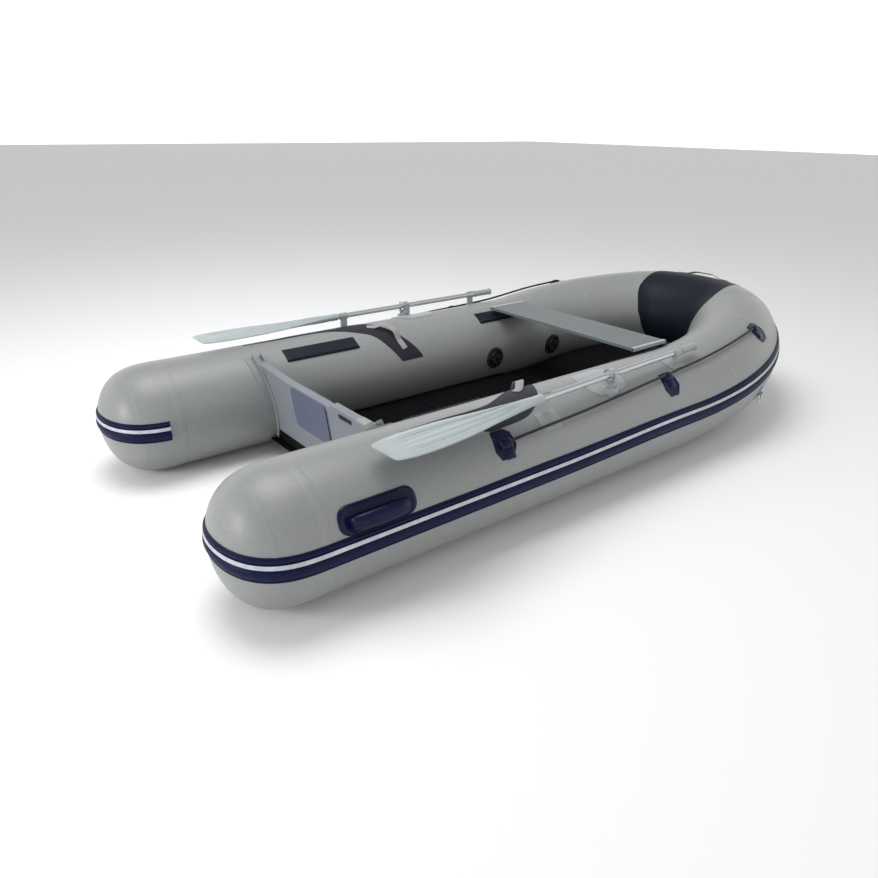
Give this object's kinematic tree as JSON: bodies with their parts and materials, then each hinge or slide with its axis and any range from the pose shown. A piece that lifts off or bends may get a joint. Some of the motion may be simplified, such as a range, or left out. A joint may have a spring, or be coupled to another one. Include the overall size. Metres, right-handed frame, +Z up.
{
  "type": "inflatable dinghy",
  "caption": "Inflatable dinghy: two side tubes joined by a raised bow, wooden transom, boarded floor, sliding bench, lifelines and two oars that swing out from stowage.",
  "frame": {"origin": "on the ground under the middle of the overall length and beam", "axes": "+X forward to the bow, +Y to port, +Z up"},
  "size_m": [3.1768, 1.5486, 0.5499],
  "materials": {
    "tube_fabric": "satin",
    "navy_rubber": "satin",
    "stripe": "satin",
    "bottom_fabric": "matte",
    "keel_fabric": "matte",
    "plywood": "matte",
    "transom": "satin",
    "aluminium": "satin",
    "bench": "satin",
    "grey_plastic": "satin",
    "oar_plastic": "satin",
    "motor_pad": "matte",
    "black_plastic": "matte",
    "rope": "matte",
    "webbing": "matte",
    "steel": "satin"
  },
  "bodies": {
    "hull": {"bottom_fabric": "bottom_fabric", "bow_band": "navy_rubber", "bow_handle": "webbing", "bow_nose": "tube_fabric", "drain_flange": "black_plastic", "floor_joiners": "aluminium", "floor_stringers": "aluminium", "floorboard_aft": "plywood", "floorboard_bow": "plywood", "floorboard_middle": "plywood", "handle_patches": "navy_rubber", "inner_motor_pad": "motor_pad", "keel_tube": "keel_fabric", "lifeline_guides": "navy_rubber", "oar_clips": "grey_plastic", "oarlock_bases": "grey_plastic", "outer_motor_pad": "motor_pad", "port_bow_corner": "tube_fabric", "port_bow_gore_aft": "tube_fabric", "port_bow_gore_fore": "tube_fabric", "port_carry_handle": "navy_rubber", "port_lifeline": "rope", "port_rise_tube": "tube_fabric", "port_side_tube": "tube_fabric", "port_stern_cone": "tube_fabric", "port_strake": "navy_rubber", "port_strap_handle": "webbing", "seat_tracks": "navy_rubber", "starboard_bow_corner": "tube_fabric", "starboard_bow_gore_aft": "tube_fabric", "starboard_bow_gore_fore": "tube_fabric", "starboard_carry_handle": "navy_rubber", "starboard_lifeline": "rope", "starboard_rise_tube": "tube_fabric", "starboard_side_tube": "tube_fabric", "starboard_stern_cone": "tube_fabric", "starboard_strake": "navy_rubber", "starboard_strap_handle": "webbing", "strake_stripes": "stripe", "towing_patches": "navy_rubber", "transom_board": "transom", "transom_holders": "grey_plastic", "transom_plate": "black_plastic", "valve_bodies": "black_plastic"},
    "starboard_rowlock": {"starboard_oarlock": "grey_plastic"},
    "port_rowlock": {"port_oarlock": "grey_plastic"},
    "starboard_oar": {"starboard_oar_shaft": "aluminium", "starboard_oar_blade": "oar_plastic", "starboard_oar_grip": "oar_plastic"},
    "port_oar": {"port_oar_shaft": "aluminium", "port_oar_blade": "oar_plastic", "port_oar_grip": "oar_plastic"},
    "bench": {"bench_board": "bench", "bench_ends": "aluminium"},
    "starboard_cap": {"starboard_valve_cap": "black_plastic"},
    "port_aft_cap": {"port_aft_valve_cap": "black_plastic"},
    "port_fore_cap": {"port_fore_valve_cap": "black_plastic"},
    "plug": {"drain_plug": "black_plastic"},
    "starboard_ring": {"starboard_towing_ring": "steel"},
    "port_ring": {"port_towing_ring": "steel"}
  },
  "joints": [
    {"name": "starboard_oar_swing", "type": "hinge", "parent": "hull", "child": "starboard_rowlock", "pos_m": [-0.10917, -0.64, 0.419], "axis": [0, 0, 1], "range_deg": [0, 110]},
    {"name": "starboard_oar_dip", "type": "hinge", "parent": "starboard_rowlock", "child": "starboard_oar", "pos_m": [-0.10917, -0.64, 0.45], "axis": [0.0593, -0.9982, 0], "range_deg": [0, 25]},
    {"name": "port_oar_swing", "type": "hinge", "parent": "hull", "child": "port_rowlock", "pos_m": [-0.10917, 0.64, 0.419], "axis": [0, 0, -1], "range_deg": [0, 110]},
    {"name": "port_oar_dip", "type": "hinge", "parent": "port_rowlock", "child": "port_oar", "pos_m": [-0.10917, 0.64, 0.45], "axis": [0, -1, 0], "range_deg": [0, 25]},
    {"name": "bench_slide", "type": "slide", "parent": "hull", "child": "bench", "axis": [1, 0, 0], "range_m": [-0.12, 0]},
    {"name": "starboard_cap_turn", "type": "hinge", "parent": "hull", "child": "starboard_cap", "pos_m": [0.21983, -0.32713, 0.20267], "axis": [0, 0.9994, -0.0349], "range_deg": [0, 90]},
    {"name": "port_aft_cap_turn", "type": "hinge", "parent": "hull", "child": "port_aft_cap", "pos_m": [0.21983, 0.32713, 0.20267], "axis": [0, -0.9994, -0.0349], "range_deg": [0, 90]},
    {"name": "port_fore_cap_turn", "type": "hinge", "parent": "hull", "child": "port_fore_cap", "pos_m": [0.62833, 0.32839, 0.20293], "axis": [-0.0053, -0.9923, -0.1235], "range_deg": [0, 90]},
    {"name": "drain_plug_pull", "type": "slide", "parent": "hull", "child": "plug", "axis": [-0.9914, 0, -0.1305], "range_m": [0, 0.035]},
    {"name": "starboard_ring_swing", "type": "hinge", "parent": "hull", "child": "starboard_ring", "pos_m": [0.88001, -0.7112, 0.17783], "axis": [-0.9686, -0.2164, -0.1224], "range_deg": [-15, 80]},
    {"name": "port_ring_swing", "type": "hinge", "parent": "hull", "child": "port_ring", "pos_m": [0.88001, 0.7112, 0.17783], "axis": [0.9686, -0.2164, 0.1224], "range_deg": [-15, 80]}
  ],
  "couplings": [
    {"joint": "starboard_oar_dip", "follows": "starboard_oar_swing", "ratio": 0.22727},
    {"joint": "port_oar_dip", "follows": "port_oar_swing", "ratio": 0.22727}
  ]
}
